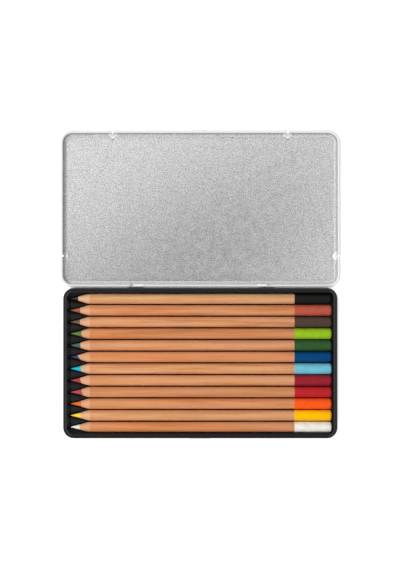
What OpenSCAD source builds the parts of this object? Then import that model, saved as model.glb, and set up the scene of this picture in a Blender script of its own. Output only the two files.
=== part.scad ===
// Flat sheet-steel tin for a row of round colouring pencils, with a lid that opens flat behind the base.
// X runs along the pencils, with their points at the low end. Y runs back to the hinge, and Z is up.
// The origin is the centre of the base's underside. The lid is drawn open, as it lies on the table.

/* [Pencils] */
// Number of pencils in the row
pencil_count = 12; // [4:1:12]
// Diameter of a barrel
pencil_d = 7.2; // [6.5:0.1:8.5]
// Length of a new pencil
pencil_len = 175; // [120:1:190]
// Gap between two neighbouring barrels
pencil_gap = 0.63; // [0.3:0.01:1.5]
// Length of the sharpened cone
cone_len = 13; // [10:0.5:20]
// Diameter of the coloured lead
lead_d = 3.8; // [2:0.1:4.5]
// Diameter of the blunt point
point_d = 0.5; // [0.3:0.1:1]
// Length of the dipped coat on the blunt end
coat_len = 25; // [10:1:60]
// Thickness of the dipped coat
coat_t = 0.2; // [0.1:0.05:0.3]
// How far the coat stands proud of the bare barrel
coat_proud = 0.05; // [0.01:0.01:0.08]
// Radius that rounds the blunt end
end_r = 1.6; // [1.4:0.1:3.4]

/* [Tray] */
// Thickness of the formed plastic sheet
tray_t = 0.4; // [0.3:0.05:0.6]
// Gap between a barrel and its trough
trough_gap = 0.3; // [0.1:0.05:0.5]
// How far the ridges between the troughs stay below the pencils' centres
ridge_drop = 2; // [1.5:0.1:3]
// Gap between a pencil's point and the end wall of the troughs
point_gap = 0.4; // [0.2:0.1:2]
// Gap between a pencil's blunt end and the end wall of the troughs
blunt_gap = 0.85; // [0.4:0.05:2]
// Width of the flange past the points
point_flange = 2.45; // [1.4:0.05:6]
// Width of the flange past the blunt ends
blunt_flange = 1.35; // [1.2:0.05:6]
// Width of the flange along the first and last pencil
side_flange = 1.65; // [1.2:0.05:6]
// How much wider the corners of the trough field are than a pencil's rounded end
field_corner_ease = 0.5; // [0.3:0.05:0.9]
// Gap between a sharpened cone and the tapered walls beside it
tip_gap = 0.7; // [0.4:0.05:0.8]
// Radius of the rounded end of a trough ahead of the point
tip_end_r = 1.2; // [0.9:0.1:1.6]
// Width of the flange left ahead of the troughs' rounded ends
tip_flange = 0.95; // [0.8:0.05:1.2]
// How far the wedges between the cones stand above the pencils' centres
wedge_rise = 1.8; // [0:0.1:3]
// Width of a wedge at its narrow end
wedge_end_w = 0.8; // [0.4:0.1:1.2]
// Gap between the troughs and the base's floor
trough_lift = 0.5; // [0.2:0.1:2]
// Gap between the tray's skirt and the base's floor
tray_foot_gap = 0.15; // [0.1:0.05:0.5]
// Gap between the tray and the base's curled rim
tray_gap = 0.25; // [0.2:0.05:1]

/* [Base] */
// Thickness of the sheet steel in the base and the lid
sheet_t = 0.3; // [0.2:0.05:0.4]
// Outer radius of the base's corners
base_corner_r = 7.2; // [5:0.1:8.6]
// Inner radius of the bend between floor and wall
base_bend_r = 1; // [0.5:0.1:2]
// Diameter of the inward curl round the rim
base_curl_d = 1.4; // [1:0.1:2]
// Height of the rim above the tops of the pencils
rim_over_pencils = 1.8; // [1:0.05:4]
// How far the tray's flange lies below the rim
flange_drop = 0.5; // [0.3:0.1:1.2]
// Length of the thumb lip on the front wall
lip_len = 15; // [8:0.5:30]
// How far the thumb lip stands out
lip_out = 0.6; // [0.3:0.1:1.2]
// Gap between the thumb lip and the closed lid's edge
lip_gap = 0.5; // [0.3:0.1:1.5]

/* [Lid] */
// Gap between the closed lid and the ends of the base
lid_gap = 0.3; // [0.2:0.05:1]
// Gap between the closed lid and the front of the base
front_gap = 0.4; // [0.4:0.05:1]
// Gap between the lid's curled edge and the back of the base
hinge_gap = 0.35; // [0.3:0.05:1.5]
// Diameter of the outward curl round the lid's edge
lid_curl_d = 2; // [1.4:0.1:2.6]
// How much tighter the lid's corners are than the base's
corner_ease = 1.2; // [0:0.1:2]
// Inner radius of the bend between the lid's panel and its skirt
lid_bend_r = 2.2; // [0.6:0.1:2.6]
// Gap between the table and the panel of the open lid
table_gap = 0.2; // [0.1:0.05:0.5]
// Length of the pressed-out finger edge on the lid's front curl
finger_len = 9.4; // [6:0.2:30]
// How far the finger edge stands out
finger_out = 0.35; // [0.1:0.05:0.8]
// Diameter of the small notch in the middle of the hinge-side curl
notch_d = 1.4; // [0.8:0.1:2]

/* [Stops] */
// Height of a pressed stop above the outside of the lid's panel
stop_h = 1.7; // [1.3:0.1:3]
// Gap between the stops and the rim of the closed base
stop_gap = 0.3; // [0.2:0.05:0.6]
// How far a stop reaches in from the skirt
stop_reach = 3.2; // [2:0.1:5]
// Radius of the rounded punch that presses a stop
stop_r = 3.1; // [2:0.1:5]
// Distance between the two stops at the front
front_stop_span = 117.6; // [40:0.2:140]
// Distance of the side stops from the hinge-side skirt
side_stop_y = 19.1; // [12:0.1:60]
// Width of the relief slit over each stop
slit_w = 1.1; // [0.5:0.1:2]

/* [Hinges] */
// Distance between the middles of the two hinges
hinge_span = 87.6; // [50:0.2:120]
// Length of a hinge tongue
hinge_len = 11.4; // [6:0.2:20]
// Play between the lid's curl and the tongue around it
hinge_play = 0.06; // [0.04:0.01:0.1]
// How far the tongue wraps past the top of the curl, in degrees
hinge_wrap = 12; // [0:1:25]
// Length of the tongue's tip, which is cut off slantwise at its outer side
tip_len = 7; // [3:0.1:11]
// How far that cut runs along the hinge
tip_slant = 1.7; // [0:0.1:3]
// Length of the hole in the lid's curl beside the tip
relief_len = 1.9; // [0.5:0.1:4]
// Width of that hole across the curl
relief_w = 1.3; // [0.4:0.1:1.6]
// Gap at each end of the tongue in the lid's slot
hinge_side_gap = 0.3; // [0.2:0.05:0.6]
// Height of the window left in the base's back wall
hinge_window_h = 3.3; // [2:0.1:3.5]

/* [Hidden] */
$fn = 64;
cut = 1;
quarter = 90;
seam_angle = 60;

COLOURS = [
    ["black", "#20201e", "#3c3632"],
    ["terracotta", "#b75a46", "#a45844"],
    ["dark_brown", "#534136", "#5c4a40"],
    ["lime", "#94bd25", "#668044"],
    ["dark_green", "#325931", "#4b5d4f"],
    ["blue", "#024679", "#2b4166"],
    ["light_blue", "#75bfd0", "#1dafce"],
    ["crimson", "#962731", "#9c4844"],
    ["red", "#ba282f", "#bc4e4e"],
    ["orange", "#fa5f1a", "#df7840"],
    ["yellow", "#fbbf04", "#f2c838"],
    ["white", "#e9e6db", "#eee3d9"]
];
STEEL = "#c8cacb";
LACQUER = "#1c1c1e";
TRAY_PLASTIC = "#27282a";
CEDAR = "#dca06c";

pencil_r = pencil_d / 2;
pencil_pitch = pencil_d + pencil_gap;
coat_r = pencil_r + coat_proud;
core_r = coat_r - coat_t;
trough_r = pencil_r + trough_gap;
row_half = (pencil_count - 1) * pencil_pitch / 2;
pocket_side_ease = 0.03;
pocket_half_w = row_half + trough_r + pocket_side_ease;
pocket_len = point_gap + pencil_len + blunt_gap;
pocket_corner_r = end_r + field_corner_ease;
tray_len = pocket_len + point_flange + blunt_flange;
tray_w = 2 * (pocket_half_w + side_flange);
tray_corner_r = base_corner_r - base_curl_d - tray_gap;
pocket_x = (point_flange - blunt_flange) / 2;
point_x = pocket_x - pocket_len / 2 + point_gap;
cone_slope = (pencil_d - point_d) / 2 / cone_len;
tip_end_x = point_x - point_gap - point_flange + tip_flange;

base_len = tray_len + 2 * (tray_gap + base_curl_d);
base_w = tray_w + 2 * (tray_gap + base_curl_d);
pencil_z = sheet_t + trough_lift + tray_t + trough_r;
wedge_z = pencil_z + wedge_rise;
wedge_len = (pencil_pitch - wedge_end_w - point_d - 2 * tip_gap / cos(atan(cone_slope))) / 2 / cone_slope;
base_h = pencil_z + pencil_r + rim_over_pencils;
flange_z = base_h - flange_drop;
tray_foot_z = sheet_t + tray_foot_gap;

lid_curl_r = lid_curl_d / 2;
closed_h = base_h + stop_gap + stop_h;
lid_depth = (closed_h + lid_curl_d - table_gap) / 2;
lid_edge_z = closed_h - lid_depth;
lid_len = base_len + 2 * lid_gap;
lid_w = base_w + front_gap + hinge_gap;
lid_corner_r = base_corner_r + lid_gap - corner_ease;
hinge_y = base_w / 2 + hinge_gap + lid_curl_r;
hinge_z = lid_edge_z + lid_curl_r;
lid_y = hinge_y + lid_curl_r + lid_w / 2;
slot_h = lid_curl_r + hinge_play + sheet_t + hinge_side_gap;
skirt_ease = 0.02;
tongue_r = lid_curl_r + hinge_play + sheet_t;
tip_x = tip_len - hinge_len / 2;
stop_tilt = atan((stop_h - sheet_t) / stop_reach);

function pencil_y(k) = row_half - k * pencil_pitch;
// Half width of a tapered trough, at a distance from the point, grown as its section is
function taper_half(x, grow) = point_d / 2 + cone_slope * x + (tip_gap + grow) / cos(atan(cone_slope));
function barrel_name(k) = str(COLOURS[k][0], "_pencil_barrel");
function lead_name(k) = str(COLOURS[k][0], "_pencil_lead");
function coat_name(k) = str(COLOURS[k][0], "_pencil_dip");

// Flat outline with rounded corners, centred on the origin
module round_outline(len_x, len_y, corner_r) {
    square([len_x - 2 * corner_r, len_y], center = true);
    square([len_x, len_y - 2 * corner_r], center = true);
    for (side_x = [-1, 1], side_y = [-1, 1])
        translate([side_x * (len_x / 2 - corner_r), side_y * (len_y / 2 - corner_r)])
            circle(corner_r);
}

// Carries a section round such an outline. The section's X is 0 on the outline and grows outwards.
module sweep_round(len_x, len_y, corner_r) {
    half_x = len_x / 2 - corner_r;
    half_y = len_y / 2 - corner_r;
    for (i = [0 : 3]) {
        out = (i % 2 == 0) ? half_x : half_y;
        run = (i % 2 == 0) ? half_y : half_x;
        rotate(quarter * i) translate([out, run, 0]) {
            rotate_extrude(angle = quarter) translate([corner_r, 0]) children();
            rotate([quarter, 0, 0]) linear_extrude(2 * run) translate([corner_r, 0]) children();
        }
    }
}

module ring(outer_r, inner_r) {
    difference() {
        circle(outer_r);
        circle(inner_r);
    }
}

// Section of a sheet wall: the bend at its foot, the wall and the curl along its edge.
// X is 0 on the wall's inner face. A side of 1 rolls the curl outwards, and -1 rolls it inwards.
module wall_section(height, bend_r, curl_d, side) {
    curl_r = curl_d / 2;
    curl_z = height - curl_r;
    bend_out = bend_r + sheet_t;
    translate([-bend_r, bend_out]) intersection() {
        ring(bend_out, bend_r);
        translate([0, -bend_out]) square(bend_out);
    }
    translate([0, bend_out]) square([sheet_t, curl_z - bend_out]);
    translate([side > 0 ? curl_r : sheet_t - curl_r, curl_z]) difference() {
        ring(curl_r, curl_r - sheet_t);
        polygon([[0, 0], [-side * curl_d, 0], [-side * curl_d, -curl_d * tan(seam_angle)]]);
    }
}

// Open pan of sheet steel, standing on its floor. len_x and len_y are its inner sizes.
module sheet_pan(len_x, len_y, corner_r, height, bend_r, curl_d, side) {
    linear_extrude(sheet_t)
        round_outline(len_x - 2 * bend_r, len_y - 2 * bend_r, corner_r - bend_r);
    sweep_round(len_x, len_y, corner_r) wall_section(height, bend_r, curl_d, side);
}

// The two places of the hinges, with +X pointing to the nearer end of the tin
module at_hinges() {
    for (side = [-1, 1])
        translate([side * hinge_span / 2, 0, 0]) mirror([side > 0 ? 0 : 1, 0, 0]) children();
}

// Slanted band across the curl, seen from above, from the cut side of the tongue's tip outwards
module slant_outline(length, width) {
    slant = tip_slant * width / lid_curl_d / 2;
    polygon([
        [tip_x - slant, width / 2], [tip_x - slant + length, width / 2],
        [tip_x + slant + length, -width / 2], [tip_x + slant, -width / 2]
    ]);
}

// Trapezoid of the thumb lip, seen from above, with its back on the X axis
module lip_outline() {
    polygon([
        [-lip_len / 2, cut], [-lip_len / 2, 0], [-lip_len / 2 + lip_out, -lip_out],
        [lip_len / 2 - lip_out, -lip_out], [lip_len / 2, 0], [lip_len / 2, cut]
    ]);
}

module thumb_lip(grow) {
    lip_z = 2 * sheet_t + base_bend_r;
    lip_top = lid_edge_z - lip_gap;
    translate([0, -base_w / 2 + grow, lip_z + grow])
        linear_extrude(lip_top - lip_z - 2 * grow)
            lip_outline();
}

// Tongue that runs out under the lid's curl and wraps round it
module hinge_tongue() {
    difference() {
        rotate([quarter, 0, quarter]) translate([hinge_y, hinge_z, -hinge_len / 2])
            linear_extrude(hinge_len) {
                intersection() {
                    ring(tongue_r, tongue_r - sheet_t);
                    polygon([
                        [0, -lid_curl_d], [lid_curl_d, -lid_curl_d], [lid_curl_d, lid_curl_d],
                        [-lid_curl_d * tan(hinge_wrap), lid_curl_d], [0, 0]
                    ]);
                }
                translate([-lid_curl_r - hinge_gap - sheet_t, -tongue_r])
                    square([lid_curl_r + hinge_gap + sheet_t, sheet_t]);
            }
        translate([0, hinge_y, hinge_z + sheet_t / 2])
            linear_extrude(tongue_r) slant_outline(hinge_len, 2 * lid_curl_d);
    }
}

module base_pan() {
    color(LACQUER) difference() {
        union() {
            sheet_pan(base_len - 2 * sheet_t, base_w - 2 * sheet_t, base_corner_r - sheet_t,
                base_h, base_bend_r, base_curl_d, -1);
            intersection() {
                thumb_lip(0);
                translate([-lip_len, -base_w / 2 - lip_len, 0])
                    cube([2 * lip_len, lip_len + sheet_t, base_h]);
            }
            at_hinges() hinge_tongue();
        }
        thumb_lip(sheet_t);
        at_hinges()
            translate([-hinge_len / 2 - hinge_side_gap, base_w / 2 - sheet_t - cut,
                hinge_z - tongue_r - hinge_window_h])
                cube([hinge_len + 2 * hinge_side_gap, sheet_t + 2 * cut, hinge_window_h]);
    }
}

// The four places of the stops, with +X pointing out through the skirt
module at_stops() {
    for (side = [-1, 1]) {
        translate([side * front_stop_span / 2, lid_w / 2, 0]) rotate(quarter) children();
        translate([side * lid_len / 2, side_stop_y - lid_w / 2, 0])
            rotate(side > 0 ? 0 : 2 * quarter) children();
    }
}

// Rounded punch that slopes down from the skirt to the panel
module stop_punch(inset) {
    punch_len = 4 * stop_reach;
    translate([0, 0, stop_h]) rotate([0, quarter - stop_tilt, 0])
        translate([stop_r, 0, -punch_len / 2])
            cylinder(h = punch_len, r = stop_r - inset);
}

// What a stop may fill: it ends inside the sheet of the panel, the bend and the skirt
module stop_room() {
    mid = sheet_t / 2;
    bend_mid = lid_bend_r + mid;
    translate([0, stop_r, 0]) rotate([quarter, 0, 0]) linear_extrude(2 * stop_r) {
        translate([-2 * stop_reach, mid]) square([2 * stop_reach - lid_bend_r, stop_h - mid]);
        intersection() {
            translate([-lid_bend_r, mid + bend_mid]) circle(bend_mid);
            translate([-lid_bend_r, mid]) square([bend_mid, stop_h - mid]);
        }
    }
}

module finger_edge() {
    translate([-finger_len / 2, lid_w / 2 + lid_curl_r, lid_depth - lid_curl_r])
        rotate([quarter, 0, quarter]) linear_extrude(finger_len) difference() {
            translate([finger_out, 0]) circle(lid_curl_r);
            circle(lid_curl_r - sheet_t / 2);
        }
}

module lid_pan() {
    color(STEEL) translate([0, lid_y, table_gap]) difference() {
        union() {
            sheet_pan(lid_len, lid_w, lid_corner_r, lid_depth, lid_bend_r, lid_curl_d, 1);
            finger_edge();
            at_stops() intersection() {
                stop_punch(0);
                stop_room();
            }
        }
        at_stops() stop_punch(sheet_t);
        at_stops()
            translate([-lid_curl_r, -slit_w / 2, stop_h])
                cube([2.4 * lid_curl_r, slit_w, lid_depth]);
        at_hinges()
            translate([-hinge_len / 2 - hinge_side_gap, -lid_w / 2 - sheet_t - skirt_ease,
                lid_depth - lid_curl_r - slot_h])
                cube([hinge_len + 2 * hinge_side_gap, sheet_t + skirt_ease + cut, slot_h]);
        at_hinges()
            translate([0, -lid_w / 2 - lid_curl_r, lid_depth - lid_curl_r])
                linear_extrude(lid_curl_d) slant_outline(relief_len, relief_w);
        translate([0, -lid_w / 2 - lid_curl_d, lid_depth - lid_curl_d - cut])
            cylinder(h = lid_curl_d + 2 * cut, d = notch_d);
    }
}

// Section of the troughs, seen from the points, grown by the thickness of the sheet where asked
module trough_section(grow, top_z) {
    for (k = [0 : pencil_count - 1])
        translate([pencil_y(k), pencil_z]) circle(trough_r + grow);
    translate([-pocket_half_w - grow, pencil_z - ridge_drop - grow])
        square([2 * (pocket_half_w + grow), top_z - pencil_z + ridge_drop + grow]);
}

// Trough field seen from above
module field_outline(grow) {
    translate([pocket_x, 0])
        round_outline(pocket_len + 2 * grow, 2 * (pocket_half_w + grow), pocket_corner_r + grow);
}

// Tapered end of one trough seen from above, with the pencil's point on the origin
module tip_outline(grow) {
    end_x = tip_end_x - point_x + tip_end_r;
    round_r = tip_end_r + grow;
    far_x = wedge_len + tray_t;
    translate([end_x, 0]) circle(round_r);
    translate([end_x, -round_r]) square([wedge_len - end_x, 2 * round_r]);
    polygon([
        [0, -taper_half(0, grow)], [far_x, -taper_half(far_x, grow)],
        [far_x, taper_half(far_x, grow)], [0, taper_half(0, grow)]
    ]);
}

module trough_outline(grow) {
    for (k = [0 : pencil_count - 1])
        translate([point_x, pencil_y(k)]) tip_outline(grow);
    intersection() {
        field_outline(grow);
        translate([point_x + wedge_len - grow, -pocket_half_w - grow])
            square([pocket_len, 2 * (pocket_half_w + grow)]);
    }
}

// All that is sunk into the tray: round troughs along the barrels that taper with the cones
module pocket(grow, top_z) {
    intersection() {
        translate([tip_end_x - grow, 0, 0]) rotate([quarter, 0, quarter])
            linear_extrude(pocket_x + pocket_len / 2 - tip_end_x + 2 * grow) trough_section(grow, top_z);
        linear_extrude(top_z) trough_outline(grow);
    }
    translate([0, 0, wedge_z - grow]) linear_extrude(top_z - wedge_z + grow) field_outline(grow);
}

module pencil_tray() {
    color(TRAY_PLASTIC) difference() {
        union() {
            translate([0, 0, flange_z - tray_t]) linear_extrude(tray_t)
                round_outline(tray_len, tray_w, tray_corner_r);
            translate([0, 0, tray_foot_z]) linear_extrude(flange_z - tray_foot_z) difference() {
                round_outline(tray_len, tray_w, tray_corner_r);
                round_outline(tray_len - 2 * tray_t, tray_w - 2 * tray_t, tray_corner_r - tray_t);
            }
            pocket(tray_t, flange_z);
        }
        pocket(0, flange_z + cut);
    }
}

// Half section of a rod with a rounded end, standing on the radius
module round_rod(radius, length, round_r) {
    square([radius, length - round_r]);
    square([radius - round_r, length]);
    translate([radius - round_r, length - round_r]) intersection() {
        circle(round_r);
        square(round_r);
    }
}

// Half section of the wood and lead together: the cone, the barrel and the core under the coat
module pencil_outline() {
    polygon([
        [0, 0], [point_d / 2, 0], [pencil_r, cone_len],
        [pencil_r, pencil_len - coat_len], [0, pencil_len - coat_len]
    ]);
    translate([0, pencil_len - coat_len - cut])
        round_rod(core_r, coat_len + cut - coat_t, end_r - coat_t);
}

// Turns a half section about the axis of pencil k
module turned(k) {
    translate([point_x, pencil_y(k), pencil_z]) rotate([0, quarter, 0])
        rotate_extrude() children();
}

module barrel(k) {
    color(CEDAR) turned(k) difference() {
        pencil_outline();
        translate([-cut, -cut]) square([lead_d / 2 + cut, pencil_len + 2 * cut]);
    }
}

module lead(k) {
    color(COLOURS[k][2]) turned(k) intersection() {
        pencil_outline();
        square([lead_d / 2, pencil_len]);
    }
}

module dip(k) {
    color(COLOURS[k][1]) turned(k) difference() {
        translate([0, pencil_len - coat_len]) round_rod(coat_r, coat_len, end_r);
        translate([0, pencil_len - coat_len - cut])
            round_rod(core_r, coat_len + cut - coat_t, end_r - coat_t);
    }
}

base_pan();
lid_pan();
pencil_tray();
for (k = [0 : pencil_count - 1]) {
    barrel(k);
    lead(k);
    dip(k);
}
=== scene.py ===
import math

import bmesh
import bpy
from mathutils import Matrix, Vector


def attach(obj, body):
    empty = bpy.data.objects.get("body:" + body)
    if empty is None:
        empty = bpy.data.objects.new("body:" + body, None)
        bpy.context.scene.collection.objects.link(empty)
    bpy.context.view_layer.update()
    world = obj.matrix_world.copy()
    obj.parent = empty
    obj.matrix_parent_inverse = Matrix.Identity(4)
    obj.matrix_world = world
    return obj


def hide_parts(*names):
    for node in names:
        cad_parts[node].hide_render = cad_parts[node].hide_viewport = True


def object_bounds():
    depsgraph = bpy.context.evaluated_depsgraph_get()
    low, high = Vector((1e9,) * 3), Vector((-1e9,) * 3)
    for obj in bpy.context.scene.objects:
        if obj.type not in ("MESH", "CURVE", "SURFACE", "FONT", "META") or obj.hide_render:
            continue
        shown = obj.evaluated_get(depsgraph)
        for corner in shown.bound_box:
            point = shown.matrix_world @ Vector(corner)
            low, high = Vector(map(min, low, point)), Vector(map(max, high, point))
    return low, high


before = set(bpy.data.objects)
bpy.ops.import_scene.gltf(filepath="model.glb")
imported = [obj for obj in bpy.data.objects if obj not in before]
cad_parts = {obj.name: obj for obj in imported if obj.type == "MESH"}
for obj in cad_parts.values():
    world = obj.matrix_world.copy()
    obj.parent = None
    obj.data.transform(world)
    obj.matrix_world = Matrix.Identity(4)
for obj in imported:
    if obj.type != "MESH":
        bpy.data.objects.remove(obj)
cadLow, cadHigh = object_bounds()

mm = 0.001
noiseLow, noiseHigh = 0.3, 0.7   # nearly all values of a noise texture lie between these
weld = {"sheet": 0.002, "turned": 0.0005, "sliver": 0.0002}   # mm, points closer than this become one
print("frame loaded:", len(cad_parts), "nodes")


def hexColour(text):
    # sRGB hex to the linear values that shaders expect
    channels = [int(text[i:i + 2], 16) / 255 for i in (1, 3, 5)]
    linear = [c / 12.92 if c <= 0.04045 else ((c + 0.055) / 1.055) ** 2.4 for c in channels]
    return (*linear, 1.0)


def addNode(tree, kind, settings=None, inputs=None):
    # settings are the node's own properties, inputs are values or sockets to link from
    # a colour Mix node takes its factor at 0 and its two colours at 6 and 7, and gives the result at 2
    node = tree.nodes.new(kind)
    for name, value in (settings or {}).items():
        setattr(node, name, value)
    for socket, value in (inputs or {}).items():
        if isinstance(value, bpy.types.NodeSocket):
            tree.links.new(value, node.inputs[socket])
        else:
            node.inputs[socket].default_value = value
    return node


def outsideOf(tree, place, outline):
    # distance outside a rounded rectangle, given in mm: half its length and width, and its corners' radius
    halfLength, halfWidth, corner = (size * mm for size in outline)
    beyond = addNode(tree, "ShaderNodeVectorMath", {"operation": "ABSOLUTE"}, {0: place})
    for operation, amount in (("SUBTRACT", (halfLength - corner, halfWidth - corner, 0)),
                              ("MAXIMUM", (0, 0, 0)), ("MULTIPLY", (1, 1, 0))):
        beyond = addNode(tree, "ShaderNodeVectorMath", {"operation": operation}, {
            0: beyond.outputs[0], 1: amount})
    far = addNode(tree, "ShaderNodeVectorMath", {"operation": "LENGTH"}, {0: beyond.outputs[0]})
    past = addNode(tree, "ShaderNodeMath", {"operation": "SUBTRACT"}, {0: far.outputs["Value"], 1: corner})
    return past.outputs[0]


def newMaterial(name):
    material = bpy.data.materials.new(name)
    material.use_nodes = True
    tree = material.node_tree
    shader = next(node for node in tree.nodes if node.type == "BSDF_PRINCIPLED")
    return material, tree, shader


def smoothCopy(nodeName, pieceName, sharpAngle):
    # the CAD mesh is loose flat triangles: merged and shaded smooth, its curls catch light as rolled sheet does
    piece = bpy.data.objects.new(pieceName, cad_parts[nodeName].data.copy())
    bpy.context.scene.collection.objects.link(piece)
    work = bmesh.new()
    work.from_mesh(piece.data)
    bmesh.ops.remove_doubles(work, verts=work.verts, dist=weld["sheet"] * mm)
    work.to_mesh(piece.data)
    work.free()
    piece.data.materials.clear()
    piece.data.shade_smooth()
    piece.data.set_sharp_from_angle(angle=math.radians(sharpAngle))
    # the wide flat faces set the shading where they run into a bend
    weights = piece.modifiers.new("weights", "WEIGHTED_NORMAL")
    weights.keep_sharp = True
    evaluated = piece.evaluated_get(bpy.context.evaluated_depsgraph_get())
    shaped = bpy.data.meshes.new_from_object(evaluated)
    piece.modifiers.clear()
    piece.data = shaped
    return piece


def finishPiece(piece, body, slotName, material, *nodes):
    piece.data.materials.clear()
    piece.data.materials.append(material)
    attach(piece, body)
    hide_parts(*nodes)


studio = {
    "cameraPlace": (-0.0002, 0.0522, 1.017),   # m, straight above the open tin
    "lens": 95.24,         # the long side of the picture spans 384 mm of table
    "clip": (0.05, 20),    # m
    "lampPower": 64.0,
    "lampSize": (4.0, 0.2),      # m, a strip that runs from front to back
    "lampPlace": (-0.70, -0.10, 2.1),
    "worldSeen": 1.15,     # brightness of the walls and ceiling as the metal mirrors them
    "worldCast": 0.30,     # and as they light everything
    "boomLevel": 0.02,     # share of it on the dark camera and its boom overhead
    "boomPlace": (-0.064, -0.054),   # this, the size and both spans are sines of an angle
    "boomSize": (0.276, 0.093),
    "boomCore": 0.39,      # share of that size that is fully dark
    "boomTurn": 42,        # degrees
    "worldRight": 0.72,    # share left on the right, which is turned away from the lamp
    "rightSpan": (-0.1, 0.45),   # from left to right, where it falls to that
    "worldLow": 0.82,      # share left near the horizon
    "lowSpan": (0.5, 0.92),      # from the horizon up, where it rises to the whole
    "floorSize": 6,        # m
    "floorColour": "#e4e4e4",
    "floorLift": 0.78,     # added where the camera or the metal sees the paper, which makes it white
    "slit": 0.006,         # m, how far round a slit of the sheet is looked at
    "slitSpan": (0.08, 0.35),    # share of open sky where the lift starts and where it is whole
}


def placeCamera():
    scene = bpy.context.scene
    scene.view_settings.view_transform = "Standard"
    camera = bpy.data.objects.new("camera", bpy.data.cameras.new("camera"))
    scene.collection.objects.link(camera)
    camera.data.lens = studio["lens"]
    camera.data.clip_start, camera.data.clip_end = studio["clip"]
    camera.location = studio["cameraPlace"]
    scene.camera = camera


def hangLamp():
    light = bpy.data.lights.new("softbox", "AREA")
    light.shape = "RECTANGLE"
    light.size, light.size_y = studio["lampSize"]
    light.energy = studio["lampPower"]
    lamp = bpy.data.objects.new("softbox", light)
    bpy.context.scene.collection.objects.link(lamp)
    lamp.location = studio["lampPlace"]
    aim = lamp.location - cadLow.lerp(cadHigh, 0.5)
    lamp.rotation_euler = aim.to_track_quat("Z", "Y").to_euler()
    lamp.visible_glossy = False   # a polarising filter keeps its glare off the metal


def paintWorld():
    # pale walls and ceiling, darker on the right and near the horizon, with the camera's dark boom overhead
    world = bpy.data.worlds.new("studioWorld")
    bpy.context.scene.world = world
    world.use_nodes = True
    tree = world.node_tree
    tree.nodes.clear()
    towards = addNode(tree, "ShaderNodeTexCoord").outputs["Generated"]
    parts = addNode(tree, "ShaderNodeSeparateXYZ", inputs={0: towards})
    flat = addNode(tree, "ShaderNodeCombineXYZ", inputs={
        "X": parts.outputs["X"], "Y": parts.outputs["Y"]})
    boom = addNode(tree, "ShaderNodeMapping", {"vector_type": "TEXTURE"}, {
        "Vector": flat.outputs[0], "Location": (*studio["boomPlace"], 0),
        "Rotation": (0, 0, math.radians(studio["boomTurn"])), "Scale": (*studio["boomSize"], 1)})
    fromBoom = addNode(tree, "ShaderNodeVectorMath", {"operation": "LENGTH"}, {0: boom.outputs[0]})
    path = addNode(tree, "ShaderNodeLightPath")
    level = addNode(tree, "ShaderNodeMapRange", inputs={
        "Value": path.outputs["Is Glossy Ray"], "To Min": studio["worldCast"], "To Max": studio["worldSeen"]})
    level = level.outputs["Result"]
    for value, span, shares in (
            (fromBoom.outputs["Value"], (studio["boomCore"], 1.0), (studio["boomLevel"], 1.0)),
            (parts.outputs["X"], studio["rightSpan"], (1.0, studio["worldRight"])),
            (parts.outputs["Z"], studio["lowSpan"], (studio["worldLow"], 1.0))):
        share = addNode(tree, "ShaderNodeMapRange", {"interpolation_type": "SMOOTHSTEP"}, {
            "Value": value, "From Min": span[0], "From Max": span[1],
            "To Min": shares[0], "To Max": shares[1]})
        level = addNode(tree, "ShaderNodeMath", {"operation": "MULTIPLY"}, {
            0: level, 1: share.outputs["Result"]}).outputs[0]
    lit = addNode(tree, "ShaderNodeBackground", inputs={"Color": (1, 1, 1, 1), "Strength": level})
    white = addNode(tree, "ShaderNodeBackground", inputs={"Color": (1, 1, 1, 1), "Strength": 1.0})
    mixed = addNode(tree, "ShaderNodeMixShader", inputs={
        0: path.outputs["Is Camera Ray"], 1: lit.outputs[0], 2: white.outputs[0]})
    addNode(tree, "ShaderNodeOutputWorld", inputs={"Surface": mixed.outputs[0]})


def layFloor():
    # white paper sweep: pale and diffuse, lifted to white where the camera, gloss or glass sees it
    material = bpy.data.materials.new("whitePaperSweep")
    material.use_nodes = True
    tree = material.node_tree
    tree.nodes.clear()
    path = addNode(tree, "ShaderNodeLightPath")
    lift = path.outputs["Is Camera Ray"]
    for ray in ("Is Glossy Ray", "Is Transmission Ray"):
        lift = addNode(tree, "ShaderNodeMath", {"operation": "MAXIMUM"}, {
            0: lift, 1: path.outputs[ray]}).outputs[0]
    # less lift inside the narrow slits of the sheet, which stay darker
    sky = addNode(tree, "ShaderNodeAmbientOcclusion", {"samples": 8}, {"Distance": studio["slit"]})
    clear = addNode(tree, "ShaderNodeMapRange", inputs={
        "Value": sky.outputs["AO"], "From Min": studio["slitSpan"][0], "From Max": studio["slitSpan"][1]})
    for share in (clear.outputs["Result"], studio["floorLift"]):
        lift = addNode(tree, "ShaderNodeMath", {"operation": "MULTIPLY"}, {0: lift, 1: share}).outputs[0]
    glow = addNode(tree, "ShaderNodeEmission", inputs={"Color": (1, 1, 1, 1), "Strength": lift})
    paper = addNode(tree, "ShaderNodeBsdfDiffuse", inputs={"Color": hexColour(studio["floorColour"])})
    both = addNode(tree, "ShaderNodeAddShader", inputs={0: paper.outputs[0], 1: glow.outputs[0]})
    addNode(tree, "ShaderNodeOutputMaterial", inputs={"Surface": both.outputs[0]})
    bpy.ops.mesh.primitive_plane_add(size=studio["floorSize"], location=(0, 0, 0))
    floor = bpy.context.object
    floor.name = "floor"
    floor.data.materials.append(material)


placeCamera()
hangLamp()
paintWorld()
layFloor()
print("studio ready")


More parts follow.
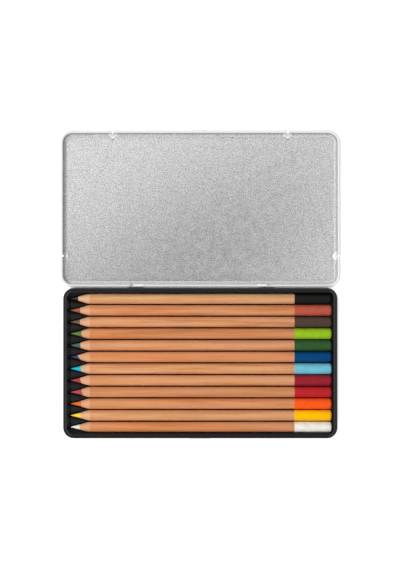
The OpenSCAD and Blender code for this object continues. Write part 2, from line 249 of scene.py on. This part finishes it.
tinplate = {
    "colour": "#f8f8f8",
    "darkGrain": "#909090",
    "grain": 0.6,          # mm, one patch of the matt tin surface
    "grainSpan": (0.36, 0.64),   # noise values of the dark and of the pale grain
    "cloud": 5.0,          # mm, slow changes of its gloss
    "roughness": 0.14,
    "roughnessSwing": 0.03,
    "metallic": 0.52,      # the rest answers for light scattered by the matt grain
    "relief": 0.002,       # mm
    "rolledMetallic": 0.12,
    # paler colour of the curls and stops: partly scuffed tin, partly a painted highlight
    "rolledHighlightColour": "#eaeaea",
    "lidMiddle": 103.665,  # mm back from the middle of the base
    "lidInside": (91.975, 50.32, 6.3),   # mm from there to the rolled edges, and their corners' radius
    "curlFade": 0.2,       # mm over which the panel turns to the rolled edge
    "stopPlaces": (58.8, -31.92),   # mm from there along the front and along the sides
    "stopSize": (2.9, 3.7),         # mm, half its width and its reach
    "stopHeights": (0.53, 2.1),     # mm
    "stopShadowSize": (1.3, 0.5),         # mm, half the size of the painted shadow at its foot
    "paintedStopShadow": 0.62,                # level of that painted shadow
    "sharpAngle": 35,               # degrees, edges sharper than this stay edges
}


def stopMark(tree, folded, halfWidth, halfDepth, inwards):
    # 1 inside an oval at each of the four stops, that far inwards of the lid's edge, and 0 elsewhere
    edgeX, edgeY = tinplate["lidInside"][:2]
    alongX, alongY = tinplate["stopPlaces"]
    ovals = []
    for middle, halfSize in (((alongX, edgeY - inwards), (halfWidth, halfDepth)),
                             ((edgeX - inwards, alongY), (halfDepth, halfWidth))):
        offset = addNode(tree, "ShaderNodeVectorMath", {"operation": "SUBTRACT"}, {
            0: folded, 1: (middle[0] * mm, middle[1] * mm, 0)})
        offset = addNode(tree, "ShaderNodeVectorMath", {"operation": "DIVIDE"}, {
            0: offset.outputs[0], 1: (halfSize[0] * mm, halfSize[1] * mm, 1)})
        far = addNode(tree, "ShaderNodeVectorMath", {"operation": "LENGTH"}, {0: offset.outputs[0]})
        ovals.append(addNode(tree, "ShaderNodeMath", {"operation": "LESS_THAN"}, {
            0: far.outputs["Value"], 1: 1.0}).outputs[0])
    return addNode(tree, "ShaderNodeMath", {"operation": "MAXIMUM"}, dict(enumerate(ovals))).outputs[0]


def tinplateMaterial():
    # bright tinplate, cold rolled and tinned: pale grey metal with a fine mottled grain and soft reflections
    material, tree, shader = newMaterial("brightTinplate")
    place = addNode(tree, "ShaderNodeTexCoord").outputs["Object"]
    fine = addNode(tree, "ShaderNodeTexNoise", inputs={
        "Vector": place, "Scale": 1 / (tinplate["grain"] * mm), "Detail": 3.0, "Roughness": 0.7})
    broad = addNode(tree, "ShaderNodeTexNoise", inputs={
        "Vector": place, "Scale": 1 / (tinplate["cloud"] * mm), "Detail": 2.0})
    grain = addNode(tree, "ShaderNodeMapRange", inputs={
        "Value": fine.outputs["Fac"],
        "From Min": tinplate["grainSpan"][0], "From Max": tinplate["grainSpan"][1]})
    tone = addNode(tree, "ShaderNodeMix", {"data_type": "RGBA"}, {
        0: grain.outputs["Result"], 6: hexColour(tinplate["darkGrain"]), 7: hexColour(tinplate["colour"])})
    rough = addNode(tree, "ShaderNodeMapRange", inputs={
        "Value": broad.outputs["Fac"], "From Min": noiseLow, "From Max": noiseHigh,
        "To Min": tinplate["roughness"] - tinplate["roughnessSwing"],
        "To Max": tinplate["roughness"] + tinplate["roughnessSwing"]})
    bump = addNode(tree, "ShaderNodeBump", inputs={
        "Strength": 1.0, "Distance": tinplate["relief"] * mm, "Height": fine.outputs["Fac"]})
    # rolling scuffs the tin on the curled edges so that it scatters more light, and their paler colour is also
    # a painted highlight; the stops' ramps get the same pale colour and scatter as a painted highlight
    onLid = addNode(tree, "ShaderNodeVectorMath", {"operation": "SUBTRACT"}, {
        0: place, 1: (0, tinplate["lidMiddle"] * mm, 0)}).outputs[0]
    curled = addNode(tree, "ShaderNodeMapRange", inputs={
        "Value": outsideOf(tree, onLid, tinplate["lidInside"]), "From Min": 0.0,
        "From Max": tinplate["curlFade"] * mm})
    parts = addNode(tree, "ShaderNodeSeparateXYZ", inputs={0: onLid})
    sideways = addNode(tree, "ShaderNodeMath", {"operation": "ABSOLUTE"}, {0: parts.outputs["X"]})
    folded = addNode(tree, "ShaderNodeCombineXYZ", inputs={
        "X": sideways.outputs[0], "Y": parts.outputs["Y"]}).outputs[0]
    stopHighlight = stopMark(tree, folded, *tinplate["stopSize"], 0)
    # painted shadow: an oval at the foot of each stop whose colour is darkened
    paintedStopShadow = stopMark(tree, folded, *tinplate["stopShadowSize"], tinplate["stopSize"][1])
    for operation, height in zip(("GREATER_THAN", "LESS_THAN"), tinplate["stopHeights"]):
        side = addNode(tree, "ShaderNodeMath", {"operation": operation}, {
            0: parts.outputs["Z"], 1: height * mm})
        stopHighlight = addNode(tree, "ShaderNodeMath", {"operation": "MULTIPLY"}, {
            0: stopHighlight, 1: side.outputs[0]}).outputs[0]
    scuffAndHighlight = addNode(tree, "ShaderNodeMath", {"operation": "MAXIMUM"}, {
        0: curled.outputs["Result"], 1: stopHighlight}).outputs[0]
    shine = addNode(tree, "ShaderNodeMapRange", inputs={
        "Value": scuffAndHighlight, "To Min": tinplate["metallic"], "To Max": tinplate["rolledMetallic"]})
    tone = addNode(tree, "ShaderNodeMix", {"data_type": "RGBA"}, {
        0: scuffAndHighlight, 6: tone.outputs[2], 7: hexColour(tinplate["rolledHighlightColour"])})
    # darken the tin colour inside that oval to the painted shadow's level
    shade = addNode(tree, "ShaderNodeMapRange", inputs={
        "Value": paintedStopShadow, "To Min": 1.0, "To Max": tinplate["paintedStopShadow"]})
    tone = addNode(tree, "ShaderNodeHueSaturation", inputs={
        "Value": shade.outputs["Result"], "Color": tone.outputs[2]})
    tree.links.new(tone.outputs[0], shader.inputs["Base Color"])
    tree.links.new(shine.outputs["Result"], shader.inputs["Metallic"])
    tree.links.new(rough.outputs["Result"], shader.inputs["Roughness"])
    tree.links.new(bump.outputs[0], shader.inputs["Normal"])
    return material


lacquer = {
    "colour": "#0d0d0e",
    "roughness": 0.28,
    "orangePeel": 0.9,     # mm between the soft dimples of a stoved coat
    "relief": 0.004,       # mm
    "tongueStart": 50.4,   # mm back from the middle, where the tongues show the bare side of the sheet
    "sharpAngle": 35,
}


def lacquerMaterial():
    # black stoved lacquer on tinplate: deep black with a soft gloss
    # the hinge tongues are bent out with the bare tin side up
    material, tree, shader = newMaterial("blackStovedLacquer")
    place = addNode(tree, "ShaderNodeTexCoord").outputs["Object"]
    parts = addNode(tree, "ShaderNodeSeparateXYZ", inputs={0: place})
    bare = addNode(tree, "ShaderNodeMath", {"operation": "GREATER_THAN"}, {
        0: parts.outputs["Y"], 1: lacquer["tongueStart"] * mm})
    peel = addNode(tree, "ShaderNodeTexNoise", inputs={
        "Vector": place, "Scale": 1 / (lacquer["orangePeel"] * mm), "Detail": 1.0})
    bump = addNode(tree, "ShaderNodeBump", inputs={
        "Strength": 1.0, "Distance": lacquer["relief"] * mm, "Height": peel.outputs["Fac"]})
    tone = addNode(tree, "ShaderNodeMix", {"data_type": "RGBA"}, {
        0: bare.outputs[0], 6: hexColour(lacquer["colour"]), 7: hexColour(tinplate["colour"])})
    tree.links.new(tone.outputs[2], shader.inputs["Base Color"])
    tree.links.new(bare.outputs[0], shader.inputs["Metallic"])
    tree.links.new(bump.outputs[0], shader.inputs["Normal"])
    shader.inputs["Roughness"].default_value = lacquer["roughness"]
    return material


lidShell = smoothCopy("lid_pan", "lidShell", tinplate["sharpAngle"])
finishPiece(lidShell, "lid", "tinplate", tinplateMaterial(), "lid_pan")
baseShell = smoothCopy("base_pan", "baseShell", lacquer["sharpAngle"])
finishPiece(baseShell, "base", "black_lacquer", lacquerMaterial(), "base_pan")
print("lid and base dressed")


tray = {
    "colour": "#161718",
    "roughness": 0.42,
    "roughnessSwing": 0.06,
    "cloud": 60.0,         # slow changes of its gloss, per metre
    "specular": 0.24,
    "texture": 0.35,       # mm, faint matt texture of the sheet
    "relief": 0.006,       # mm
    # colour of the painted highlight on the flange's outer edge
    "edgeHighlightColour": "#4a4b4d",
    "edgeHighlightWidth": 0.4,      # mm, width of the painted highlight along the outer edge of the flange
    "edgeHighlightFade": 3.0,       # mm into each corner, over which it starts to show
    "outline": (90.025, 48.645, 5.55),   # mm, half its length and width, and the radius of its corners
    "sharpAngle": 40,
}


def trayMaterial():
    # thermoformed black polystyrene: satin black with a faint texture that greys where it faces the light
    material, tree, shader = newMaterial("thermoformedPolystyrene")
    place = addNode(tree, "ShaderNodeTexCoord").outputs["Object"]
    skin = addNode(tree, "ShaderNodeTexNoise", inputs={
        "Vector": place, "Scale": 1 / (tray["texture"] * mm), "Detail": 2.0})
    cloud = addNode(tree, "ShaderNodeTexNoise", inputs={
        "Vector": place, "Scale": tray["cloud"], "Detail": 2.0})
    rough = addNode(tree, "ShaderNodeMapRange", inputs={
        "Value": cloud.outputs["Fac"], "From Min": noiseLow, "From Max": noiseHigh,
        "To Min": tray["roughness"] - tray["roughnessSwing"],
        "To Max": tray["roughness"] + tray["roughnessSwing"]})
    bump = addNode(tree, "ShaderNodeBump", inputs={
        "Strength": 1.0, "Distance": tray["relief"] * mm, "Height": skin.outputs["Fac"]})
    # a painted highlight: a paler line along the outer edge of the flange, shown at the ends and round the
    # corners
    edge = addNode(tree, "ShaderNodeMath", {"operation": "GREATER_THAN"}, {
        0: outsideOf(tree, place, tray["outline"]), 1: -tray["edgeHighlightWidth"] * mm})
    parts = addNode(tree, "ShaderNodeSeparateXYZ", inputs={0: place})
    sideways = addNode(tree, "ShaderNodeMath", {"operation": "ABSOLUTE"}, {0: parts.outputs["X"]})
    cornerStart = tray["outline"][0] - tray["outline"][2]
    ends = addNode(tree, "ShaderNodeMapRange", inputs={
        "Value": sideways.outputs[0], "From Min": cornerStart * mm,
        "From Max": (cornerStart + tray["edgeHighlightFade"]) * mm})
    edge = addNode(tree, "ShaderNodeMath", {"operation": "MULTIPLY"}, {
        0: edge.outputs[0], 1: ends.outputs["Result"]})
    tone = addNode(tree, "ShaderNodeMix", {"data_type": "RGBA"}, {
        0: edge.outputs[0], 6: hexColour(tray["colour"]), 7: hexColour(tray["edgeHighlightColour"])})
    tree.links.new(tone.outputs[2], shader.inputs["Base Color"])
    tree.links.new(rough.outputs["Result"], shader.inputs["Roughness"])
    tree.links.new(bump.outputs[0], shader.inputs["Normal"])
    shader.inputs["Specular IOR Level"].default_value = tray["specular"]
    return material


trayShell = smoothCopy("pencil_tray", "trayShell", tray["sharpAngle"])
finishPiece(trayShell, "tray", "tray_plastic", trayMaterial(), "pencil_tray")
print("tray dressed")


pencilForm = {
    "tipX": -86.95,        # all in mm
    "firstY": 43.065,
    "pitch": 7.83,
    "axisZ": 5.1,
    "length": 175.0,
    "barrelRadius": 3.50,  # bare wood, planed a little under its nominal size
    "tipRadius": 0.25,
    "tipWear": (0.05, 0.06),     # off the tip's radius, and along
    "coneLength": 13.0,
    "coneBulge": 0.2,      # the mill that points them leaves the cone a little full
    "coneSteps": 8,
    "shoulder": (0.008, 0.12),   # off the barrel's radius where the cone ends, and along
    "leadRadius": 1.9,
    "dipStart": 150.0,
    "dipRadius": 3.63,
    "dipEdge": (0.01, 0.03),     # off the coat's radius where it starts, and along
    "coreRadius": 3.43,    # of the wood under the coat
    "endRound": 1.6,
    "roundSteps": 8,
    "segments": 64,
    "sharpAngle": 35,
}

# the colours of the dipped coat and the lead, and of the wood, from plain 0 to rich 1, with its level
# leadEdge is mm from the tip to where the wood starts, and slant is mm that this edge leans
pencilColumns = ("name", "dip", "lead", "rich", "light", "leadEdge", "slant")
pencils = [dict(zip(pencilColumns, row)) for row in (
    ("black", "#161614", "#3a322e", 0.0, 1.00, 5.2, 0.2),
    ("terracotta", "#b25440", "#a45844", 0.95, 0.98, 6.4, 0.0),
    ("dark_brown", "#4c3b31", "#6c584c", 0.6, 1.01, 6.3, 0.2),
    ("lime", "#90b820", "#5f7a41", 1.0, 0.96, 7.4, 0.3),
    ("dark_green", "#2c532b", "#4b6454", 0.7, 0.98, 6.6, 0.1),
    ("blue", "#02406f", "#2f3e68", 0.95, 1.02, 5.4, 1.2),
    ("light_blue", "#6cb8cc", "#1eb6d4", 0.4, 1.08, 7.1, 0.2),
    ("crimson", "#90222c", "#a2433f", 0.6, 1.02, 6.8, 0.7),
    ("red", "#b42429", "#ae4b4c", 0.85, 0.89, 7.8, 0.5),
    ("orange", "#f4571a", "#d66b34", 0.9, 1.04, 7.1, 0.1),
    ("yellow", "#f9b804", "#ffd63a", 0.25, 1.01, 6.8, 0.0),
    ("white", "#e6e3d8", "#f0e8df", 1.0, 0.97, 6.2, 0.2),
)]

cedar = {
    "plain": "#d8a06d",
    "rich": "#d5844e",
    "fresh": "#ecc6a6",    # bare wood cut by the sharpener
    "streak": "#b4703f",   # late wood between the growth rings
    "dippedEndShade": "#f7faff",     # painted shade: the wood is multiplied by this towards the dipped end, which gets less light from the lamp
    "dippedEndShadeStart": 35.0,     # mm from the tip, where that painted shade starts
    "ring": 1.0,           # mm, width of a growth ring
    "ringLength": 40.0,    # mm, how slowly it wanders along the barrel
    "ringSpan": (0.45, 0.60),    # noise values where the late wood starts and where it is whole
    "flat": 0.22,          # they lie nearly flat in the plank and change this much slower across it
    "figure": 0.42,        # how strongly they show
    "lively": 1.6,         # and how much more in the livelier planks
    "figured": ("dark_brown", "lime", "light_blue", "terracotta"),   # pencils cut from those
    "pore": 0.16,          # mm, width of the fine dark flecks
    "poreLength": 3.0,
    "poreSpan": (0.54, 0.70),    # as ringSpan
    "flecks": 0.40,        # how strongly they show
    "relief": 0.015,       # mm
    "band": 3.0,           # mm, width of the slow paler bands
    "bandLength": 70.0,
    "bands": 0.26,         # how far they go to fresh wood
    "bare": 0.42,          # how far the cut cone is towards fresh wood on a plain pencil
    "bareRich": 0.12,      # and how much less on a rich one
    "cut": 0.05,           # mm, half the width of the line where the lacquer ends
    "plankStep": (0.37, 0.113, 0.071),   # m from one pencil's place in the plank to the next
    "plankTurn": 0.5,      # radians about the barrel from one to the next
    "plankLean": 0.004,    # radians, one step of its lean against the grain
    "roughness": 0.42,
    "bareRoughness": 0.62,
    "specular": 0.12,
}

waxLead = {
    "grain": 1200.0,       # grains of pigment per metre
    "paleShare": 0.25,     # how far the palest go to the paler tone
    "paler": (1.35, 0.02),       # that tone is the lead's times this and plus this
    "ragged": 0.7,         # mm, how far the sharpened edge wanders
    "raggedGrain": 900.0,  # per metre
    "edgeSpan": (0.30, 0.40),    # mm past leadEdge where it turns to wood
}


def turnTree():
    # spins a profile of points (x along the pencil, y its radius) round the axis of one pencil of the row
    tree = bpy.data.node_groups.new("turnProfile", "GeometryNodeTree")
    newSocket = tree.interface.new_socket
    newSocket("Profile", in_out="INPUT", socket_type="NodeSocketGeometry")
    for name, kind in (
            ("Segments", "Int"), ("Pencil Number", "Int"), ("Tip X", "Float"), ("First Y", "Float"),
            ("Pitch", "Float"), ("Axis Height", "Float"), ("Finish", "Material")):
        newSocket(name, in_out="INPUT", socket_type="NodeSocket" + kind)
    newSocket("Geometry", in_out="OUTPUT", socket_type="NodeSocketGeometry")
    given = addNode(tree, "NodeGroupInput").outputs
    # a grid one unit wide: its X picks the point of the profile, and its Y goes once round
    size = addNode(tree, "GeometryNodeAttributeDomainSize", inputs={"Geometry": given["Profile"]})
    around = addNode(tree, "ShaderNodeMath", {"operation": "ADD"}, {0: given["Segments"], 1: 1.0})
    grid = addNode(tree, "GeometryNodeMeshGrid", inputs={
        "Size X": 1.0, "Size Y": 1.0,
        "Vertices X": size.outputs["Point Count"], "Vertices Y": around.outputs[0]})
    place = addNode(tree, "GeometryNodeInputPosition").outputs[0]
    parts = addNode(tree, "ShaderNodeSeparateXYZ", inputs={0: place})
    last = addNode(tree, "ShaderNodeMath", {"operation": "SUBTRACT"}, {
        0: size.outputs["Point Count"], 1: 1.0})
    share = addNode(tree, "ShaderNodeMath", {"operation": "ADD"}, {0: parts.outputs["X"], 1: 0.5})
    station = addNode(tree, "ShaderNodeMath", {"operation": "MULTIPLY"}, {
        0: share.outputs[0], 1: last.outputs[0]})
    station = addNode(tree, "FunctionNodeFloatToInt", {"rounding_mode": "ROUND"}, {0: station.outputs[0]})
    point = addNode(tree, "GeometryNodeSampleIndex", {"data_type": "FLOAT_VECTOR", "domain": "POINT"}, {
        "Geometry": given["Profile"], "Value": place, "Index": station.outputs[0]})
    profile = addNode(tree, "ShaderNodeSeparateXYZ", inputs={0: point.outputs[0]})
    turn = addNode(tree, "ShaderNodeMath", {"operation": "MULTIPLY"}, {0: parts.outputs["Y"], 1: math.tau})
    high = addNode(tree, "ShaderNodeMath", {"operation": "COSINE"}, {0: turn.outputs[0]})
    wide = addNode(tree, "ShaderNodeMath", {"operation": "SINE"}, {0: turn.outputs[0]})
    high = addNode(tree, "ShaderNodeMath", {"operation": "MULTIPLY_ADD"}, {
        0: high.outputs[0], 1: profile.outputs["Y"], 2: given["Axis Height"]})
    wide = addNode(tree, "ShaderNodeMath", {"operation": "MULTIPLY_ADD"}, {
        0: wide.outputs[0], 1: profile.outputs["Y"], 2: given["First Y"]})
    step = addNode(tree, "ShaderNodeMath", {"operation": "MULTIPLY"}, {
        0: given["Pencil Number"], 1: given["Pitch"]})
    wide = addNode(tree, "ShaderNodeMath", {"operation": "SUBTRACT"}, {
        0: wide.outputs[0], 1: step.outputs[0]})
    along = addNode(tree, "ShaderNodeMath", {"operation": "ADD"}, {
        0: profile.outputs["X"], 1: given["Tip X"]})
    onPencil = addNode(tree, "ShaderNodeCombineXYZ", inputs={
        "X": along.outputs[0], "Y": wide.outputs[0], "Z": high.outputs[0]})
    turned = addNode(tree, "GeometryNodeSetPosition", inputs={
        "Geometry": grid.outputs["Mesh"], "Position": onPencil.outputs[0]})
    closed = addNode(tree, "GeometryNodeMergeByDistance", inputs={
        "Geometry": turned.outputs[0], "Distance": weld["turned"] * mm})
    real = addNode(tree, "GeometryNodeRealizeInstances", inputs={0: closed.outputs[0]})
    coated = addNode(tree, "GeometryNodeSetMaterial", inputs={
        0: real.outputs[0], "Material": given["Finish"]})
    addNode(tree, "NodeGroupOutput", inputs={0: coated.outputs[0]})
    return tree


def turnPiece(name, tree, points, number, material):
    profile = bpy.data.meshes.new(name + "Profile")
    edges = [(i, i + 1) for i in range(len(points) - 1)]
    profile.from_pydata([(x * mm, radius * mm, 0) for x, radius in points], edges, [])
    blank = bpy.data.objects.new(name + "Profile", profile)
    bpy.context.scene.collection.objects.link(blank)
    sizes = {
        "Segments": pencilForm["segments"], "Pencil Number": number, "Tip X": pencilForm["tipX"] * mm,
        "First Y": pencilForm["firstY"] * mm, "Pitch": pencilForm["pitch"] * mm,
        "Axis Height": pencilForm["axisZ"] * mm, "Finish": material,
    }
    modifier = blank.modifiers.new("turn", "NODES")
    modifier.node_group = tree
    for socket in tree.interface.items_tree:
        if socket.in_out == "INPUT" and socket.name in sizes:
            modifier[socket.identifier] = sizes[socket.name]
    mesh = bpy.data.meshes.new_from_object(blank.evaluated_get(bpy.context.evaluated_depsgraph_get()))
    bpy.data.objects.remove(blank)
    work = bmesh.new()
    work.from_mesh(mesh)
    bmesh.ops.dissolve_degenerate(work, dist=weld["sliver"] * mm, edges=work.edges)
    bmesh.ops.recalc_face_normals(work, faces=work.faces)
    work.to_mesh(mesh)
    work.free()
    mesh.name = name
    mesh.shade_smooth()
    mesh.set_sharp_from_angle(angle=math.radians(pencilForm["sharpAngle"]))
    piece = bpy.data.objects.new(name, mesh)
    bpy.context.scene.collection.objects.link(piece)
    return piece


def quarterRound(endX, radius, roundRadius):
    # points of a rounded end, from the barrel's side to its flat
    steps = pencilForm["roundSteps"]
    angles = [math.pi / 2 * step / steps for step in range(steps + 1)]
    return [(endX + roundRadius * (math.sin(angle) - 1), radius + roundRadius * (math.cos(angle) - 1))
            for angle in angles]


def pencilProfiles():
    form = pencilForm
    bore = form["leadRadius"]
    wood = form["barrelRadius"]
    core = form["coreRadius"]
    cone = form["coneLength"]
    start = form["dipStart"]
    coat = form["dipRadius"] - core
    woodEnd = form["length"] - coat
    woodRound = quarterRound(woodEnd, core, form["endRound"] - coat)
    leadX = cone * (bore - form["tipRadius"]) / (wood - form["tipRadius"])   # end of the bare lead
    shares = [step / form["coneSteps"] for step in range(form["coneSteps"])]
    barrel = [(leadX + (cone - leadX) * share,
               bore + (wood - bore) * share + form["coneBulge"] * math.sin(math.pi * share))
              for share in shares]
    drop, length = form["shoulder"]
    barrel += [(cone, wood - drop), (cone + length, wood), (start, wood), (start, core)]
    barrel += [(x, radius) for x, radius in woodRound if radius > bore]
    barrel += [(woodEnd, bore), (leadX, bore)]
    drop, length = form["tipWear"]
    lead = [(0, 0), (0, form["tipRadius"] - drop), (length, form["tipRadius"]), (leadX, bore),
            (woodEnd, bore), (woodEnd, 0)]
    drop, length = form["dipEdge"]
    dip = [(start, core), (start, form["dipRadius"] - drop), (start + length, form["dipRadius"])]
    dip += quarterRound(form["length"], form["dipRadius"], form["endRound"])
    dip += [(form["length"], 0), (woodEnd, 0), *reversed(woodRound), (start, core)]
    return barrel, lead, dip


def sharpenedMaterial(pencil, number):
    # natural cedar under clear lacquer, bare and paler where it is sharpened, and the wax lead in its middle
    material, tree, shader = newMaterial("sharpenedCedar." + pencil["name"])
    form = pencilForm
    tipPlace = tuple(size * mm for size in (
        form["tipX"], form["firstY"] - number * form["pitch"], form["axisZ"]))
    whole = addNode(tree, "ShaderNodeTexCoord").outputs["Object"]
    local = addNode(tree, "ShaderNodeVectorMath", {"operation": "SUBTRACT"}, {0: whole, 1: tipPlace})
    parts = addNode(tree, "ShaderNodeSeparateXYZ", inputs={0: local.outputs[0]})
    # every pencil is cut from another place of the plank
    plank = addNode(tree, "ShaderNodeMapping", inputs={
        "Vector": local.outputs[0], "Location": tuple(number * step for step in cedar["plankStep"]),
        "Rotation": (number * cedar["plankTurn"], cedar["plankLean"] * (number % 5 - 2),
                     cedar["plankLean"] * (number % 3 - 1))})
    # growth rings, pores and pale bands, all stretched along the barrel
    noises = []
    for length, width, depth, detail, roughness in (
            (cedar["ringLength"], cedar["ring"], cedar["ring"] / cedar["flat"], 3.0, 0.55),
            (cedar["poreLength"], cedar["pore"], cedar["pore"], 1.0, 0.5),
            (cedar["bandLength"], cedar["band"], cedar["band"], 2.0, 0.5)):
        stretched = addNode(tree, "ShaderNodeMapping", inputs={
            "Vector": plank.outputs[0], "Scale": tuple(1 / (size * mm) for size in (length, width, depth))})
        noises.append(addNode(tree, "ShaderNodeTexNoise", inputs={
            "Vector": stretched.outputs[0], "Scale": 1.0, "Detail": detail,
            "Roughness": roughness}).outputs["Fac"])
    rings, pores, bands = noises
    plain, rich = hexColour(cedar["plain"]), hexColour(cedar["rich"])
    fresh, streak = hexColour(cedar["fresh"]), hexColour(cedar["streak"])
    body = [(p + (r - p) * pencil["rich"]) * pencil["light"] for p, r in zip(plain, rich)]
    late = addNode(tree, "ShaderNodeMapRange", {"interpolation_type": "SMOOTHSTEP"}, {
        "Value": rings, "From Min": cedar["ringSpan"][0], "From Max": cedar["ringSpan"][1], "To Min": 0.0,
        "To Max": cedar["figure"] * (cedar["lively"] if pencil["name"] in cedar["figured"] else 1.0)})
    wood = addNode(tree, "ShaderNodeMix", {"data_type": "RGBA"}, {
        0: late.outputs["Result"], 6: (*body[:3], 1.0), 7: streak})
    fleck = addNode(tree, "ShaderNodeMapRange", {"interpolation_type": "SMOOTHSTEP"}, {
        "Value": pores, "From Min": cedar["poreSpan"][0], "From Max": cedar["poreSpan"][1],
        "To Min": 0.0, "To Max": cedar["flecks"]})
    wood = addNode(tree, "ShaderNodeMix", {"data_type": "RGBA"}, {
        0: fleck.outputs["Result"], 6: wood.outputs[2], 7: streak})
    pale = addNode(tree, "ShaderNodeMapRange", inputs={
        "Value": bands, "From Min": noiseLow, "From Max": noiseHigh,
        "To Min": 0.0, "To Max": cedar["bands"]})
    wood = addNode(tree, "ShaderNodeMix", {"data_type": "RGBA"}, {
        0: pale.outputs["Result"], 6: wood.outputs[2], 7: fresh})
    # painted shade: the wood darkens a little from there to the dipped end
    coat = addNode(tree, "ShaderNodeMapRange", inputs={
        "Value": parts.outputs["X"], "From Min": cedar["dippedEndShadeStart"] * mm, "From Max": form["dipStart"] * mm})
    wood = addNode(tree, "ShaderNodeMix", {"data_type": "RGBA", "blend_type": "MULTIPLY"}, {
        0: coat.outputs["Result"], 6: wood.outputs[2], 7: hexColour(cedar["dippedEndShade"])})
    # bare wood ahead of the shoulder
    bare = addNode(tree, "ShaderNodeMapRange", inputs={
        "Value": parts.outputs["X"], "From Min": (form["coneLength"] - cedar["cut"]) * mm,
        "From Max": (form["coneLength"] + cedar["cut"]) * mm, "To Min": 1.0, "To Max": 0.0})
    paler = addNode(tree, "ShaderNodeMath", {"operation": "MULTIPLY"}, {
        0: bare.outputs["Result"], 1: cedar["bare"] - cedar["bareRich"] * pencil["rich"]})
    wood = addNode(tree, "ShaderNodeMix", {"data_type": "RGBA"}, {
        0: paler.outputs[0], 6: wood.outputs[2], 7: fresh})
    # edge of the lead on the cone, leaning and a little ragged
    lean = addNode(tree, "ShaderNodeMath", {"operation": "MULTIPLY_ADD"}, {
        0: parts.outputs["Y"], 1: pencil["slant"] / form["leadRadius"], 2: parts.outputs["X"]})
    ragged = addNode(tree, "ShaderNodeTexNoise", inputs={
        "Vector": plank.outputs[0], "Scale": waxLead["raggedGrain"], "Detail": 1.0})
    edge = addNode(tree, "ShaderNodeMath", {"operation": "MULTIPLY_ADD"}, {
        0: ragged.outputs["Fac"], 1: waxLead["ragged"] * mm, 2: lean.outputs[0]})
    onLead = addNode(tree, "ShaderNodeMapRange", inputs={
        "Value": edge.outputs[0], "From Min": (pencil["leadEdge"] + waxLead["edgeSpan"][0]) * mm,
        "From Max": (pencil["leadEdge"] + waxLead["edgeSpan"][1]) * mm, "To Min": 1.0, "To Max": 0.0})
    grains = addNode(tree, "ShaderNodeTexNoise", inputs={
        "Vector": local.outputs[0], "Scale": waxLead["grain"], "Detail": 2.0})
    grains = addNode(tree, "ShaderNodeMapRange", inputs={
        "Value": grains.outputs["Fac"], "From Min": noiseLow, "From Max": noiseHigh,
        "To Min": 0.0, "To Max": waxLead["paleShare"]})
    leadColour = hexColour(pencil["lead"])
    times, plus = waxLead["paler"]
    wax = addNode(tree, "ShaderNodeMix", {"data_type": "RGBA"}, {
        0: grains.outputs["Result"], 6: leadColour,
        7: (*(min(1.0, channel * times + plus) for channel in leadColour[:3]), 1.0)})
    tone = addNode(tree, "ShaderNodeMix", {"data_type": "RGBA"}, {
        0: onLead.outputs["Result"], 6: wood.outputs[2], 7: wax.outputs[2]})
    rough = addNode(tree, "ShaderNodeMapRange", inputs={
        "Value": bare.outputs["Result"], "To Min": cedar["roughness"], "To Max": cedar["bareRoughness"]})
    # the pores leave a faint relief, also under the lacquer
    bump = addNode(tree, "ShaderNodeBump", inputs={
        "Strength": 0.6, "Distance": cedar["relief"] * mm, "Height": pores})
    tree.links.new(tone.outputs[2], shader.inputs["Base Color"])
    tree.links.new(rough.outputs["Result"], shader.inputs["Roughness"])
    tree.links.new(bump.outputs[0], shader.inputs["Normal"])
    shader.inputs["Specular IOR Level"].default_value = cedar["specular"]
    return material


dipCoat = {
    "roughness": 0.34,
    "specular": 0.1,
    "wave": 4.0,           # mm between the slow waves of a dipped coat
    "relief": 0.02,        # mm
    "mottle": 0.06,        # how far its level swings with them
}


def dipMaterial(pencil):
    # nitro lacquer, dipped in several coats: even colour, soft gloss and slow waves
    material, tree, shader = newMaterial("dippedLacquer." + pencil["name"])
    place = addNode(tree, "ShaderNodeTexCoord").outputs["Object"]
    wave = addNode(tree, "ShaderNodeTexNoise", inputs={
        "Vector": place, "Scale": 1 / (dipCoat["wave"] * mm), "Detail": 1.0})
    level = addNode(tree, "ShaderNodeMapRange", inputs={
        "Value": wave.outputs["Fac"], "From Min": noiseLow, "From Max": noiseHigh,
        "To Min": 1 - dipCoat["mottle"], "To Max": 1 + dipCoat["mottle"]})
    tone = addNode(tree, "ShaderNodeHueSaturation", inputs={
        "Value": level.outputs["Result"], "Color": hexColour(pencil["dip"])})
    bump = addNode(tree, "ShaderNodeBump", inputs={
        "Strength": 1.0, "Distance": dipCoat["relief"] * mm, "Height": wave.outputs["Fac"]})
    tree.links.new(tone.outputs[0], shader.inputs["Base Color"])
    tree.links.new(bump.outputs[0], shader.inputs["Normal"])
    shader.inputs["Roughness"].default_value = dipCoat["roughness"]
    shader.inputs["Specular IOR Level"].default_value = dipCoat["specular"]
    return material


turner = turnTree()
profiles = dict(zip(("barrel", "lead", "dip"), pencilProfiles()))
for number, pencil in enumerate(pencils):
    name = pencil["name"]
    body = name + "_pencil"
    sharpened = sharpenedMaterial(pencil, number)
    finishes = {"barrel": ("cedar", sharpened), "lead": (name + "_lead", sharpened),
                "dip": (name + "_dip", dipMaterial(pencil))}
    for part, (slotName, material) in finishes.items():
        piece = turnPiece(name + "." + part, turner, profiles[part], number, material)
        finishPiece(piece, body, slotName, material, body + "_" + part)
print("pencils ready:", len(pencils))
